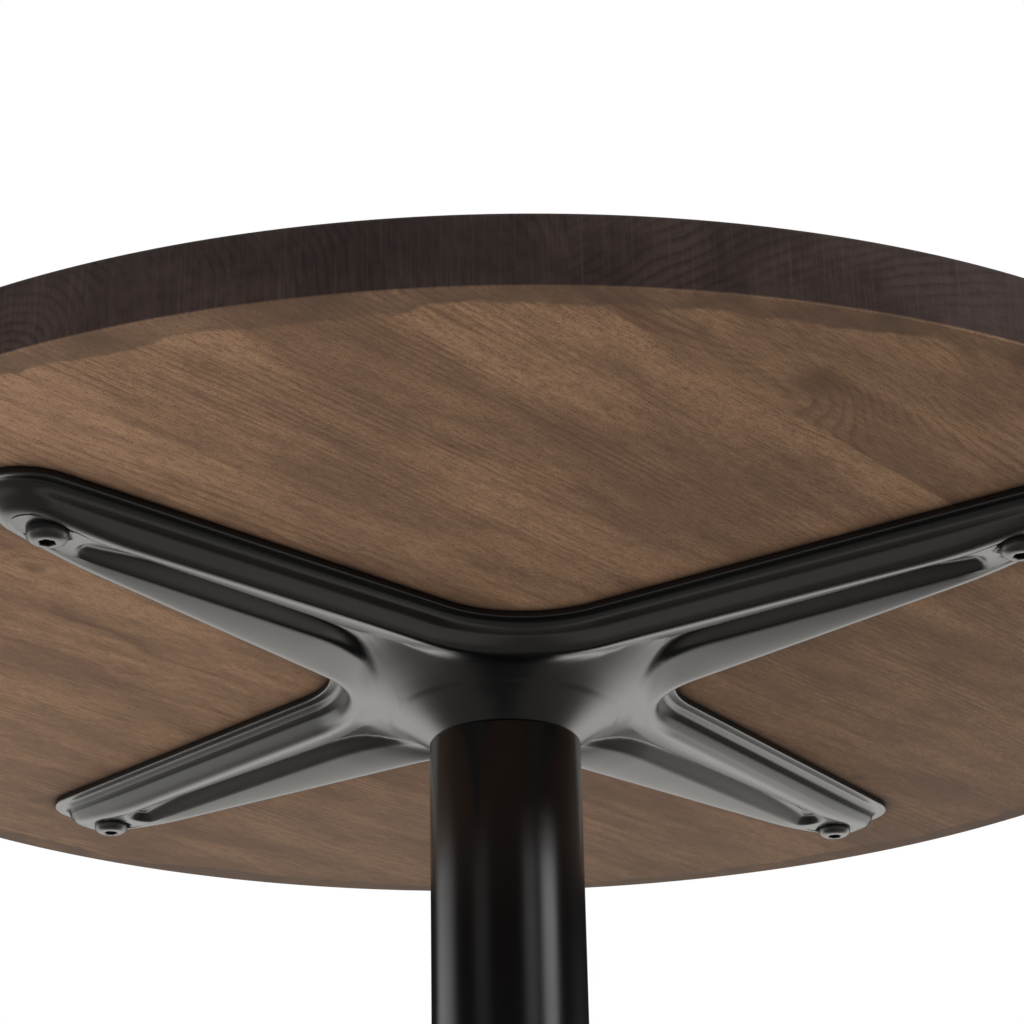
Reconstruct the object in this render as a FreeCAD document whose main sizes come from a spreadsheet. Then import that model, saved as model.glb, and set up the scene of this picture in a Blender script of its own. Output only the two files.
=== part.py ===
import FreeCAD, Part
import math
import os
import Sketcher

# A round pub table: an edge-glued wooden top on a pressed-steel spider, a tube column held
# by a central tie rod, and a larger pressing of the same cross form as a base on four
# levelling glides. Millimetres, +Z up, origin on the floor under the column. The arms lie
# along X and Y, and the boards run along X.

ARMS = 4

# Every driving size: its name, its value and what it measures.
SIZES = [
    ("table_height", 1055, "floor to the top face"),
    ("top_diameter", 610, "round top"),
    ("top_thickness", 24, "boards"),
    ("top_break", 1.5, "broken upper edge"),
    ("top_ease", 0.8, "chamfer of the lower edge"),
    ("board_one_width", 93, "first board, from the -Y rim to its joint"),
    ("board_two_width", 152, "second board"),
    ("board_three_width", 176, "third board; the fourth takes the rest"),
    ("spider_tip_reach", 233, "axis to the centre of an arm's round tip"),
    ("spider_tip_radius", 18.5, "round tip of an arm"),
    ("spider_corner_place", 76, "corner arc's centre from each axis"),
    ("spider_corner_radius", 41, "corner arc between two arms"),
    ("spider_sheet", 2.5, "sheet steel"),
    ("spider_flange", 5.3, "flat flange round the edge"),
    ("spider_wall_run", 1.5, "how far the drawn wall leans in"),
    ("spider_crest", 3.9, "ridge from the wall to the dish"),
    ("spider_depth", 14, "flange face to the ridge's crest"),
    ("spider_ridge_round", 3.5, "rounding of the ridge"),
    ("spider_cove", 2.5, "rounding at the foot of the wall"),
    ("spider_dish_depth", 3.7, "crest to the groove's rim"),
    ("spider_groove_width", 12.2, "groove at its rim"),
    ("spider_groove_floor", 6.8, "groove at its floor, across"),
    ("spider_groove_depth", 6.3, "rim to floor"),
    ("spider_groove_corner", 95, "where a groove begins to widen into the hub"),
    ("spider_groove_gap", 21, "fixing to the centre of the groove's round end"),
    ("spider_fixing_level", 11, "flange face to the flat seat of a fixing"),
    ("spider_fixing_width", 17.5, "that seat, across"),
    ("spider_flare_radius", 96, "hub flare where it leaves the groove's floor"),
    ("spider_flare_curve", 110.5, "arc of the flare"),
    ("spider_seat", 27.7, "flange face to the column's seat"),
    ("base_tip_reach", 268, "the same sizes on the base pressing"),
    ("base_tip_radius", 22, ""),
    ("base_corner_place", 106, ""),
    ("base_corner_radius", 60, ""),
    ("base_sheet", 3, ""),
    ("base_flange", 5.5, ""),
    ("base_wall_run", 5, ""),
    ("base_crest", 5, ""),
    ("base_depth", 30, ""),
    ("base_ridge_round", 4.5, ""),
    ("base_cove", 3, ""),
    ("base_dish_depth", 6, ""),
    ("base_groove_width", 16, ""),
    ("base_groove_floor", 9, ""),
    ("base_groove_depth", 9, ""),
    ("base_groove_corner", 120, ""),
    ("base_groove_gap", 19, ""),
    ("base_fixing_level", 24.5, ""),
    ("base_fixing_width", 18, ""),
    ("base_flare_radius", 124, ""),
    ("base_flare_curve", 104, ""),
    ("base_seat", 80, ""),
    ("base_stand", 14, "floor to the base's flange"),
    ("column_diameter", 57, "tube, outside"),
    ("column_wall", 2, "tube wall"),
    ("seat_step", 0.8, "column's edge outside the flare"),
    ("flare_back", 1.1, "inner flare short of the outer one at the seat"),
    ("spigot_length", 14, "cup of a pressing inside the column"),
    ("spigot_room", 0.3, "cup to the tube's bore"),
    ("rod_diameter", 10, "tie rod"),
    ("rod_room", 0.5, "rod to its holes and washers"),
    ("rod_proud", 4, "rod past each nut"),
    ("rod_chamfer", 1, "rod ends"),
    ("nut_across", 17, "tie-rod nuts, across flats"),
    ("nut_height", 8, ""),
    ("washer_diameter", 30, "wide washers"),
    ("washer_thickness", 2.5, ""),
    ("lock_washer_diameter", 18, "spring washer"),
    ("lock_washer_thickness", 2.2, ""),
    ("lock_washer_gap", 1.5, "its split"),
    ("thread_room", 0.05, "thread flank to flank, on the radius"),
    ("bolt_inset", 9, "spider bolt in from the centre of its arm's tip"),
    ("bolt_diameter", 8, ""),
    ("bolt_bite", 12, "bolt inside its insert"),
    ("bolt_head_diameter", 14, "button head"),
    ("bolt_head_height", 4.4, ""),
    ("bolt_head_side", 1.6, "straight side of the head"),
    ("bolt_head_flat", 7.4, "flat of the head, across"),
    ("bolt_head_dome", 6, "arc of the head"),
    ("bolt_socket_across", 5, "hexagon socket"),
    ("bolt_socket_depth", 2.6, ""),
    ("sleeve_diameter", 14, "spacer sleeve round a bolt inside the arm"),
    ("sleeve_room", 0.5, "bolt to sleeve and to the arm's hole"),
    ("insert_diameter", 12, "threaded insert in the wood"),
    ("insert_length", 15, ""),
    ("insert_rim_diameter", 15, "its rim"),
    ("insert_rim", 1.2, ""),
    ("insert_room", 0.05, "insert to its hole"),
    ("insert_spare", 1, "hole past the insert"),
    ("glide_inset", 13, "glide in from the centre of its arm's tip"),
    ("pad_diameter", 32, "glide's pad"),
    ("pad_height", 9, ""),
    ("pad_shoulder", 5, "straight side of the pad"),
    ("pad_crown", 20, "pad's upper face, across"),
    ("foot_diameter", 12, "stem's foot inside the pad"),
    ("foot_height", 4, ""),
    ("foot_room", 0.1, "foot to its socket, on the radius"),
    ("collar_across", 13, "stem's hexagon collar"),
    ("collar_height", 4, ""),
    ("collar_gap", 0.3, "collar above the pad"),
    ("stem_diameter", 8, "threaded stem"),
    ("stem_spare", 1.5, "stem's end below the arm's roof"),
    ("bush_diameter", 14, "threaded bush welded inside an arm"),
    ("bush_length", 20, ""),
    ("overrun", 2, "cuts past a face"),
]

doc = FreeCAD.newDocument("pub_table")
sizes = doc.addObject("Spreadsheet::Sheet", "sizes")
for row, (alias, value, meaning) in enumerate(SIZES, 1):
    sizes.set("A%d" % row, meaning)
    sizes.set("B%d" % row, str(value))
    sizes.setAlias("B%d" % row, alias)
doc.recompute()

Z_AXIS = FreeCAD.Vector(0, 0, 1)
QUARTER = 360 / ARMS
slack = 10 * Part.Precision.confusion()


def number(names):
    # Value of a sum of sizes; a leading minus takes that size away, a leading half mark halves it.
    total = 0.0
    for name in names:
        share = -1.0 if name.startswith("-") else 1.0
        plain = name.lstrip("-")
        if plain.startswith("half "):
            share /= 2
            plain = plain[len("half "):]
        total += share * sizes.get(plain)
    return total


def formula(names):
    # The same sum as an expression on the sheet.
    terms = []
    for name in names:
        sign = "- " if name.startswith("-") else "+ "
        plain = name.lstrip("-")
        if plain.startswith("half "):
            terms.append(sign + "sizes." + plain[len("half "):] + " / 2")
        else:
            terms.append(sign + "sizes." + plain)
    return " ".join(terms) if terms else "0"


def minus(names):
    # The same sum taken away.
    return [name[1:] if name.startswith("-") else "-" + name for name in names]


def bind(thing, **properties):
    for prop, names in properties.items():
        thing.setExpression(prop, formula(names))


def place(thing, x=(), y=(), z=()):
    for axis, names in (("x", x), ("y", y), ("z", z)):
        if names:
            thing.setExpression(".Placement.Base." + axis, formula(names))


def turn(thing, arm):
    # Swing a piece made on the +X arm round to another arm.
    thing.Placement = FreeCAD.Placement(FreeCAD.Vector(), FreeCAD.Rotation(Z_AXIS, QUARTER * arm))


def new_body(name):
    return doc.addObject("PartDesign::Body", name)


def new_sketch(body, name, role, height=()):
    sketch = body.newObject("Sketcher::SketchObject", name)
    plane = next(item for item in body.Origin.OriginFeatures if item.Role == role)
    sketch.AttachmentSupport = [(plane, "")]
    sketch.MapMode = "FlatFace"
    if height:
        sketch.setExpression(".AttachmentOffset.Base.z", formula(height))
    return sketch


def sized(sketch, kind, names, *where):
    index = sketch.addConstraint(Sketcher.Constraint(kind, *where, number(names)))
    sketch.setExpression("Constraints[%d]" % index, formula(names))


def pin(sketch, geometry, point, along, names):
    # Hold a point at a distance from the origin along one axis, or on the axis itself.
    if not names:
        axis = -1 if along == "DistanceY" else -2
        sketch.addConstraint(Sketcher.Constraint("PointOnObject", geometry, point, axis))
    elif number(names) > 0:
        sized(sketch, along, names, -1, 1, geometry, point)
    else:
        sized(sketch, along, minus(names), geometry, point, -1, 1)


def circles(sketch, spots):
    # Circles as (x, y, diameter), each given as a sum of sizes.
    for x, y, diameter in spots:
        centre = FreeCAD.Vector(number(x), number(y), 0)
        index = sketch.addGeometry(Part.Circle(centre, Z_AXIS, number(diameter) / 2), False)
        pin(sketch, index, 3, "DistanceX", x)
        pin(sketch, index, 3, "DistanceY", y)
        sized(sketch, "Diameter", diameter, index)


def around(reach, diameter):
    # One circle on each arm.
    back = minus(reach)
    return [(reach, (), diameter), ((), reach, diameter), (back, (), diameter), ((), back, diameter)]


def profile(sketch, corners):
    # Closed outline through corners (x, z) or (x, z, radius): the radius bends the line that
    # leaves that corner, hollow side to the right of the way it runs.
    spots = [FreeCAD.Vector(number(corner[0]), number(corner[1]), 0) for corner in corners]
    for index, corner in enumerate(corners):
        start = spots[index]
        end = spots[(index + 1) % len(spots)]
        if len(corner) == 3:
            radius = number(corner[2])
            half = (end - start) / 2
            side = FreeCAD.Vector(half.y, -half.x, 0).normalize()
            centre = start + half + side * math.sqrt(radius ** 2 - half.Length ** 2)
            first = math.atan2(start.y - centre.y, start.x - centre.x)
            last = math.atan2(end.y - centre.y, end.x - centre.x)
            sketch.addGeometry(Part.ArcOfCircle(Part.Circle(centre, Z_AXIS, radius), last, first), False)
        else:
            sketch.addGeometry(Part.LineSegment(start, end), False)
    ends = [(2, 1) if len(corner) == 3 else (1, 2) for corner in corners]
    for index, corner in enumerate(corners):
        following = (index + 1) % len(corners)
        sketch.addConstraint(
            Sketcher.Constraint("Coincident", index, ends[index][1], following, ends[following][0]))
        pin(sketch, index, ends[index][0], "DistanceX", corner[0])
        pin(sketch, index, ends[index][0], "DistanceY", corner[1])
        if len(corner) == 3:
            sized(sketch, "Radius", corner[2], index)


def pad(body, name, sketch, length):
    feature = body.newObject("PartDesign::Pad", name)
    feature.Profile = sketch
    bind(feature, Length=length)
    return feature


def pocket(body, name, sketch, depth=None):
    # Cut up from a level sketch, to a depth or right through.
    before = body.Tip
    feature = body.newObject("PartDesign::Pocket", name)
    feature.Profile = sketch
    feature.Reversed = True
    if depth:
        bind(feature, Length=depth)
    else:
        feature.Type = "ThroughAll"
    doc.recompute()
    if not feature.Shape.Volume < before.Shape.Volume:
        raise RuntimeError(name + " cut nothing")
    return feature


def revolve(body, name, corners):
    sketch = new_sketch(body, name + "_profile", "XZ_Plane")
    profile(sketch, corners)
    feature = body.newObject("PartDesign::Revolution", name)
    feature.Profile = sketch
    feature.ReferenceAxis = (sketch, ["V_Axis"])
    return feature


def loft(body, name, kind, first, second):
    feature = body.newObject("PartDesign::" + kind, name)
    feature.Profile = first
    feature.Sections = [second]
    feature.Ruled = True
    return feature


def fillet(body, name, feature, edges, radius):
    rounded = body.newObject("PartDesign::Fillet", name)
    numbered = enumerate(feature.Shape.Edges, 1)
    rounded.Base = (feature, ["Edge%d" % index for index, edge in numbered if any(map(edge.isSame, edges))])
    bind(rounded, Radius=radius)
    return rounded


def chamfer(body, name, feature, height, size):
    # Break the outer edge that lies at a height.
    level = number(height)
    rim = [index for index, edge in enumerate(feature.Shape.Edges, 1)
           if edge.BoundBox.ZMin >= level - slack and edge.BoundBox.ZMax <= level + slack]
    broken = body.newObject("PartDesign::Chamfer", name)
    broken.Base = (feature, ["Edge%d" % index for index in rim])
    bind(broken, Size=size)
    return broken


def level_face(feature, height):
    # The flat upward face at a height.
    level = number(height)
    for face in feature.Shape.Faces:
        flat = face.Surface.TypeId == "Part::GeomPlane" and face.normalAt(0, 0).z > 0
        if flat and face.BoundBox.ZLength < slack and abs(face.CenterOfMass.z - level) < slack:
            return face
    raise RuntimeError("no level face in " + feature.Name)


def cylinder(name, diameter, height, x=(), z=()):
    piece = doc.addObject("Part::Cylinder", name)
    bind(piece, Radius=["half " + diameter], Height=height)
    place(piece, x=x, z=z)
    return piece


def bore(name, diameter, room, height, x=(), z=()):
    piece = doc.addObject("Part::Cylinder", name)
    bind(piece, Radius=["half " + diameter, room], Height=height)
    place(piece, x=x, z=z)
    return piece


def hexagon(name, across, height, x=(), z=()):
    piece = doc.addObject("Part::Prism", name)
    piece.Polygon = 6
    piece.setExpression("Circumradius", "sizes.%s / (2 * cos(30))" % across)
    bind(piece, Height=height)
    place(piece, x=x, z=z)
    return piece


def cut(name, base, tool):
    piece = doc.addObject("Part::Cut", name)
    piece.Base = base
    piece.Tool = tool
    return piece


def common(name, base, tool):
    piece = doc.addObject("Part::Common", name)
    piece.Base = base
    piece.Tool = tool
    return piece


def fuse(name, *pieces):
    piece = doc.addObject("Part::MultiFuse", name)
    piece.Shapes = list(pieces)
    return piece


def group(name, make):
    # One copy on each arm, as separate solids of one sub-part.
    copies = []
    for arm in range(ARMS):
        copy = make("%s_%d" % (name, arm + 1))
        turn(copy, arm)
        copies.append(copy)
    piece = doc.addObject("Part::Compound", name)
    piece.Links = copies
    return piece


# Pressed crosses


def cross_outline(body, name, height, tip_reach, tip_radius, corner_place, corner_radius):
    # Four round tips and four corner arcs joined by their tangent lines.
    sketch = new_sketch(body, name, "XY_Plane", height)
    reach, tip, spot, corner = map(number, (tip_reach, tip_radius, corner_place, corner_radius))
    between = FreeCAD.Vector(spot - reach, spot, 0)
    normal = math.atan2(between.y, between.x) - math.acos((tip + corner) / between.Length)
    lean_x = math.cos(normal)
    lean_y = math.sin(normal)
    for arm in range(ARMS):
        angle = math.radians(QUARTER * arm)
        spin = FreeCAD.Rotation(Z_AXIS, QUARTER * arm)
        tip_centre = spin.multVec(FreeCAD.Vector(reach, 0, 0))
        corner_centre = spin.multVec(FreeCAD.Vector(spot, spot, 0))
        off_tip = spin.multVec(FreeCAD.Vector(reach + tip * lean_x, tip * lean_y, 0))
        on_corner = spin.multVec(FreeCAD.Vector(spot - corner * lean_x, spot - corner * lean_y, 0))
        off_corner = spin.multVec(FreeCAD.Vector(spot - corner * lean_y, spot - corner * lean_x, 0))
        on_tip = spin.multVec(FreeCAD.Vector(tip * lean_y, reach + tip * lean_x, 0))
        half_turn = math.pi
        from_angle = angle + half_turn / 2 - normal + half_turn
        to_angle = angle + normal + half_turn
        tip_arc = Part.ArcOfCircle(Part.Circle(tip_centre, Z_AXIS, tip), angle - normal, angle + normal)
        corner_arc = Part.ArcOfCircle(Part.Circle(corner_centre, Z_AXIS, corner), from_angle, to_angle)
        sketch.addGeometry(tip_arc, False)
        sketch.addGeometry(Part.LineSegment(off_tip, on_corner), False)
        sketch.addGeometry(corner_arc, False)
        sketch.addGeometry(Part.LineSegment(off_corner, on_tip), False)
    run = 4
    for arm in range(ARMS):
        tip_arc = run * arm
        edge, corner_arc, back_edge = tip_arc + 1, tip_arc + 2, tip_arc + 3
        next_tip = run * ((arm + 1) % ARMS)
        sketch.addConstraint(Sketcher.Constraint("Tangent", tip_arc, 2, edge, 1))
        sketch.addConstraint(Sketcher.Constraint("Tangent", edge, 2, corner_arc, 2))
        sketch.addConstraint(Sketcher.Constraint("Tangent", corner_arc, 1, back_edge, 1))
        sketch.addConstraint(Sketcher.Constraint("Tangent", back_edge, 2, next_tip, 1))
    behind = minus(tip_reach)
    left = minus(corner_place)
    tips = [(tip_reach, ()), ((), tip_reach), (behind, ()), ((), behind)]
    corners = [(corner_place, corner_place), (left, corner_place), (left, left), (corner_place, left)]
    for arm in range(ARMS):
        for geometry, (x, y), radius in ((run * arm, tips[arm], tip_radius),
                                         (run * arm + 2, corners[arm], corner_radius)):
            pin(sketch, geometry, 3, "DistanceX", x)
            pin(sketch, geometry, 3, "DistanceY", y)
            sized(sketch, "Radius", radius, geometry)
    return sketch


def pressed_cross(kind, fixing, holes):
    # A sheet-steel cross with its flange on the local XY plane: a steep drawn wall up to a ridge
    # that runs all round, inside it a shallow dish that falls to a groove along each arm, a flat
    # seat for each fixing, and a hub that flares up to a seat and a cup for the column. The
    # hollow is the same form one sheet smaller.
    def own(*names):
        return [name.replace("_", kind + "_", 1) for name in names]

    def outline(body, name, height, inset):
        return cross_outline(body, kind + name, height, own("_tip_reach"), own("_tip_radius") + minus(inset),
                             own("_corner_place"), own("_corner_radius") + inset)

    def groove_outline(body, name, height, half_width):
        return cross_outline(body, kind + name, height, fixing + own("-_groove_gap"), half_width,
                             own("_groove_corner"), own("_groove_corner") + minus(half_width))

    sheet = own("_sheet")
    crest = own("_depth")
    rim = own("_depth", "-_dish_depth")
    floor = own("_depth", "-_dish_depth", "-_groove_depth")
    wall_top = own("_flange", "_wall_run")
    half_rim = own("half _groove_width")
    half_floor = own("half _groove_floor")
    spigot = ["half column_diameter", "-column_wall", "-spigot_room"]
    cup_end = own("_seat") + ["spigot_length"]
    rod_hole = ["half rod_diameter", "rod_room"]

    # Outer form of the arms
    outer = new_body(kind + "_outer")
    pad(outer, kind + "_flange_plate", outline(outer, "_edge", (), []), sheet)
    wall = loft(outer, kind + "_wall", "AdditiveLoft", outline(outer, "_wall_foot", sheet, own("_flange")),
                outline(outer, "_wall_top", crest, wall_top))
    doc.recompute()
    ridge = fillet(outer, kind + "_ridge", wall, level_face(wall, crest).Edges, own("_ridge_round"))
    doc.recompute()
    flange_face = level_face(ridge, sheet)
    wall_foot = [edge for wire in flange_face.Wires if not wire.isSame(flange_face.OuterWire)
                 for edge in wire.Edges]
    fillet(outer, kind + "_wall_cove", ridge, wall_foot, own("_cove"))
    loft(outer, kind + "_dish", "SubtractiveLoft", outline(outer, "_dish_edge", crest, wall_top + own("_crest")),
         groove_outline(outer, "_dish_foot", rim, half_rim))
    loft(outer, kind + "_groove", "SubtractiveLoft", groove_outline(outer, "_groove_rim", rim, half_rim),
         groove_outline(outer, "_groove_foot", floor, half_floor))
    doc.recompute()
    seats = new_sketch(outer, kind + "_seat_circles", "XY_Plane", own("_fixing_level"))
    circles(seats, around(fixing, own("_fixing_width")))
    pocket(outer, kind + "_seats", seats)
    if holes:
        drill = new_sketch(outer, kind + "_drill", "XY_Plane")
        circles(drill, around(fixing, holes))
        pocket(outer, kind + "_holes", drill)

    # Outer form of the hub, kept inside the wall
    flare = new_body(kind + "_flare")
    revolve(flare, kind + "_flare_turned", [
        (rod_hole, ()),
        (own("_flare_radius"), ()),
        (own("_flare_radius"), floor, own("_flare_curve")),
        (["half column_diameter", "-seat_step"], own("_seat")),
        (spigot, own("_seat")),
        (spigot, cup_end),
        (rod_hole, cup_end)])
    flare_limit = new_body(kind + "_flare_limit")
    pad(flare_limit, kind + "_flare_prism", outline(flare_limit, "_flare_edge", (), wall_top), cup_end)
    hub = common(kind + "_hub", flare, flare_limit)

    # Hollow of the arms
    hollow = new_body(kind + "_hollow")
    roof = crest + minus(sheet)
    under_rim = rim + minus(sheet)
    loft(hollow, kind + "_inside", "AdditiveLoft",
         outline(hollow, "_mouth", ["-overrun"], own("_flange") + sheet),
         outline(hollow, "_roof", roof, wall_top + sheet))
    loft(hollow, kind + "_under_dish", "SubtractiveLoft",
         outline(hollow, "_under_dish_edge", roof, wall_top + own("_crest")),
         groove_outline(hollow, "_under_dish_foot", under_rim, half_rim + sheet))
    loft(hollow, kind + "_under_groove", "SubtractiveLoft",
         groove_outline(hollow, "_under_groove_rim", under_rim, half_rim + sheet),
         groove_outline(hollow, "_under_groove_foot", floor + minus(sheet), half_floor + sheet))
    doc.recompute()
    under_seats = new_sketch(hollow, kind + "_under_seat_circles", "XY_Plane", own("_fixing_level") + minus(sheet))
    circles(under_seats, around(fixing, own("_fixing_width") + sheet + sheet))
    pocket(hollow, kind + "_under_seats", under_seats)

    # Hollow of the hub
    under_flare = new_body(kind + "_under_flare")
    revolve(under_flare, kind + "_under_flare_turned", [
        ((), ["-overrun"]),
        (own("_flare_radius"), ["-overrun"]),
        (own("_flare_radius"), floor + minus(sheet), own("_flare_curve") + sheet),
        (["half column_diameter", "-seat_step", "-flare_back"], own("_seat") + minus(sheet)),
        (spigot + minus(sheet), own("_seat") + minus(sheet)),
        (spigot + minus(sheet), cup_end + minus(sheet)),
        ((), cup_end + minus(sheet))])
    under_limit = new_body(kind + "_under_limit")
    under_edge = outline(under_limit, "_under_limit_edge", ["-overrun"], wall_top + sheet)
    pad(under_limit, kind + "_under_prism", under_edge, cup_end + ["overrun"])
    under_hub = common(kind + "_under_hub", under_flare, under_limit)
    return cut(kind + "_pressing", fuse(kind + "_outside", outer, hub), fuse(kind + "_cavity", hollow, under_hub))


underside = ["table_height", "-top_thickness"]
bolt_reach = ["spider_tip_reach", "-bolt_inset"]
glide_reach = ["base_tip_reach", "-glide_inset"]

top_spider = pressed_cross("spider", bolt_reach, ["bolt_diameter", "sleeve_room", "sleeve_room"])
top_spider.Placement = FreeCAD.Placement(FreeCAD.Vector(), FreeCAD.Rotation(FreeCAD.Vector(1, 0, 0), 180))
place(top_spider, z=underside)
top_spider.Label = "top_spider"

base_cross = pressed_cross("base", glide_reach, [])
place(base_cross, z=["base_stand"])
base_cross.Label = "base_cross"

# Wooden top: one disc, drilled for the inserts, sawn into four boards

disc = new_body("top_disc")
disc_sketch = new_sketch(disc, "top_outline", "XY_Plane")
circles(disc_sketch, [((), (), ["top_diameter"])])
disc_pad = pad(disc, "top_slab", disc_sketch, ["top_thickness"])
doc.recompute()
disc_crown = chamfer(disc, "top_upper_edge", disc_pad, ["top_thickness"], ["top_break"])
doc.recompute()
chamfer(disc, "top_lower_edge", disc_crown, [], ["top_ease"])
doc.recompute()
insert_sketch = new_sketch(disc, "insert_holes", "XY_Plane")
circles(insert_sketch, around(bolt_reach, ["insert_diameter", "insert_room", "insert_room"]))
pocket(disc, "insert_bores", insert_sketch, ["insert_length", "insert_spare"])
rim_sketch = new_sketch(disc, "insert_rims", "XY_Plane")
circles(rim_sketch, around(bolt_reach, ["insert_rim_diameter", "insert_room", "insert_room"]))
pocket(disc, "insert_seats", rim_sketch, ["insert_rim"])
place(disc, z=underside)

# The outer strips pass the rim, so that no strip only touches it.
board_widths = [["board_one_width", "overrun"], ["board_two_width"], ["board_three_width"],
                ["top_diameter", "-board_one_width", "-board_two_width", "-board_three_width", "overrun"]]
boards = []
board_start = ["-half top_diameter", "-overrun"]
for index, width in enumerate(board_widths, 1):
    strip = doc.addObject("Part::Box", "board_strip_%d" % index)
    bind(strip, Length=["top_diameter", "overrun", "overrun"], Width=width,
         Height=["top_thickness", "overrun", "overrun"])
    place(strip, x=["-half top_diameter", "-overrun"], y=board_start, z=underside + ["-overrun"])
    boards.append(common("top_board_%d" % index, disc, strip))
    board_start = board_start + width

# Column and tie rod

spider_seat_level = underside + ["-spider_seat"]
base_seat_level = ["base_stand", "base_seat"]
column_length = spider_seat_level + minus(base_seat_level)
column = cut("column", cylinder("column_tube", "column_diameter", column_length, z=base_seat_level),
             bore("column_bore", "column_diameter", "-column_wall", column_length, z=base_seat_level))

spider_cup = spider_seat_level + ["-spigot_length", "spider_sheet"]
base_cup = base_seat_level + ["spigot_length", "-base_sheet"]
rod_top = spider_cup + ["washer_thickness", "nut_height", "rod_proud"]
rod_bottom = base_cup + ["-washer_thickness", "-lock_washer_thickness", "-nut_height", "-rod_proud"]


def washer(name, diameter, thickness, level):
    return cut(name, cylinder(name + "_disc", diameter, [thickness], z=level),
               bore(name + "_hole", "rod_diameter", "rod_room", [thickness], z=level))


def rod_nut(name, level):
    return cut(name, hexagon(name + "_hexagon", "nut_across", ["nut_height"], z=level),
               bore(name + "_thread", "rod_diameter", "thread_room", ["nut_height"], z=level))


rod_body = new_body("tie_rod")
rod_end = ["half rod_diameter", "-rod_chamfer"]
revolve(rod_body, "rod_bar", [
    ((), rod_bottom),
    (rod_end, rod_bottom),
    (["half rod_diameter"], rod_bottom + ["rod_chamfer"]),
    (["half rod_diameter"], rod_top + ["-rod_chamfer"]),
    (rod_end, rod_top),
    ((), rod_top)])

rod_top_washer = washer("rod_top_washer", "washer_diameter", "washer_thickness", spider_cup)
rod_top_nut = rod_nut("rod_top_nut", spider_cup + ["washer_thickness"])
lower_washer_level = base_cup + ["-washer_thickness"]
rod_bottom_washer = washer("rod_bottom_washer", "washer_diameter", "washer_thickness", lower_washer_level)
lock_level = lower_washer_level + ["-lock_washer_thickness"]
lock_ring = washer("lock_ring", "lock_washer_diameter", "lock_washer_thickness", lock_level)
lock_split = doc.addObject("Part::Box", "lock_split")
bind(lock_split, Length=["lock_washer_diameter"], Width=["lock_washer_gap"], Height=["lock_washer_thickness"])
place(lock_split, y=["-half lock_washer_gap"], z=lock_level)
rod_lock_washer = cut("rod_lock_washer", lock_ring, lock_split)
rod_bottom_nut = rod_nut("rod_bottom_nut", lock_level + ["-nut_height"])

# Spider fixings

bolt_seat = underside + ["-spider_fixing_level"]


def spider_bolt(name):
    body = new_body(name + "_body")
    half_shank = ["half bolt_diameter"]
    revolve(body, name + "_turned", [
        ((), bolt_seat + ["-bolt_head_height"]),
        ((), underside + ["bolt_bite"]),
        (half_shank, underside + ["bolt_bite"]),
        (half_shank, bolt_seat),
        (["half bolt_head_diameter"], bolt_seat),
        (["half bolt_head_diameter"], bolt_seat + ["-bolt_head_side"], ["bolt_head_dome"]),
        (["half bolt_head_flat"], bolt_seat + ["-bolt_head_height"])])
    place(body, x=bolt_reach)
    socket = hexagon(name + "_socket", "bolt_socket_across", ["bolt_socket_depth"],
                     x=bolt_reach, z=bolt_seat + ["-bolt_head_height"])
    return cut(name, body, socket)


def spider_sleeve(name):
    length = ["spider_fixing_level", "-spider_sheet"]
    level = bolt_seat + ["spider_sheet"]
    return cut(name, cylinder(name + "_tube", "sleeve_diameter", length, x=bolt_reach, z=level),
               bore(name + "_bore", "bolt_diameter", "sleeve_room", length, x=bolt_reach, z=level))


def threaded_insert(name):
    barrel = cylinder(name + "_barrel", "insert_diameter", ["insert_length"], x=bolt_reach, z=underside)
    rim = cylinder(name + "_rim", "insert_rim_diameter", ["insert_rim"], x=bolt_reach, z=underside)
    thread = bore(name + "_thread", "bolt_diameter", "thread_room", ["insert_length"],
                  x=bolt_reach, z=underside)
    return cut(name, fuse(name + "_turned", barrel, rim), thread)


spider_bolts = group("spider_bolts", spider_bolt)
spider_sleeves = group("spider_sleeves", spider_sleeve)
threaded_inserts = group("threaded_inserts", threaded_insert)

# Levelling glides

base_roof = ["base_stand", "base_fixing_level", "-base_sheet"]


def glide_bush(name):
    level = base_roof + ["-bush_length"]
    return cut(name, cylinder(name + "_barrel", "bush_diameter", ["bush_length"], x=glide_reach, z=level),
               bore(name + "_thread", "stem_diameter", "thread_room", ["bush_length"],
                    x=glide_reach, z=level))


def glide_pad(name):
    body = new_body(name + "_body")
    revolve(body, name + "_turned", [
        ((), ()),
        ((), ["pad_height"]),
        (["half pad_crown"], ["pad_height"]),
        (["half pad_diameter"], ["pad_shoulder"]),
        (["half pad_diameter"], ())])
    place(body, x=glide_reach)
    socket = bore(name + "_socket", "foot_diameter", "foot_room", ["foot_height"],
                  x=glide_reach, z=["pad_height", "-foot_height"])
    return cut(name, body, socket)


def glide_stem(name):
    collar_level = ["pad_height", "collar_gap"]
    foot = cylinder(name + "_foot", "foot_diameter", ["foot_height", "collar_gap"],
                    x=glide_reach, z=["pad_height", "-foot_height"])
    collar = hexagon(name + "_collar", "collar_across", ["collar_height"], x=glide_reach, z=collar_level)
    thread_level = collar_level + ["collar_height"]
    thread_length = base_roof + ["-stem_spare"] + minus(thread_level)
    thread = cylinder(name + "_thread", "stem_diameter", thread_length, x=glide_reach, z=thread_level)
    return fuse(name, foot, collar, thread)


glide_bushes = group("glide_bushes", glide_bush)
glides = []
for arm in range(ARMS):
    for make, kind in ((glide_pad, "glide_pad"), (glide_stem, "glide_stem")):
        glide = make("%s_%d" % (kind, arm + 1))
        turn(glide, arm)
        glides.append(glide)

doc.recompute()

sub_parts = boards + [
    threaded_inserts, spider_bolts, spider_sleeves, top_spider, column, rod_body, rod_top_washer,
    rod_top_nut, rod_bottom_washer, rod_lock_washer, rod_bottom_nut, base_cross, glide_bushes] + glides

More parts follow.
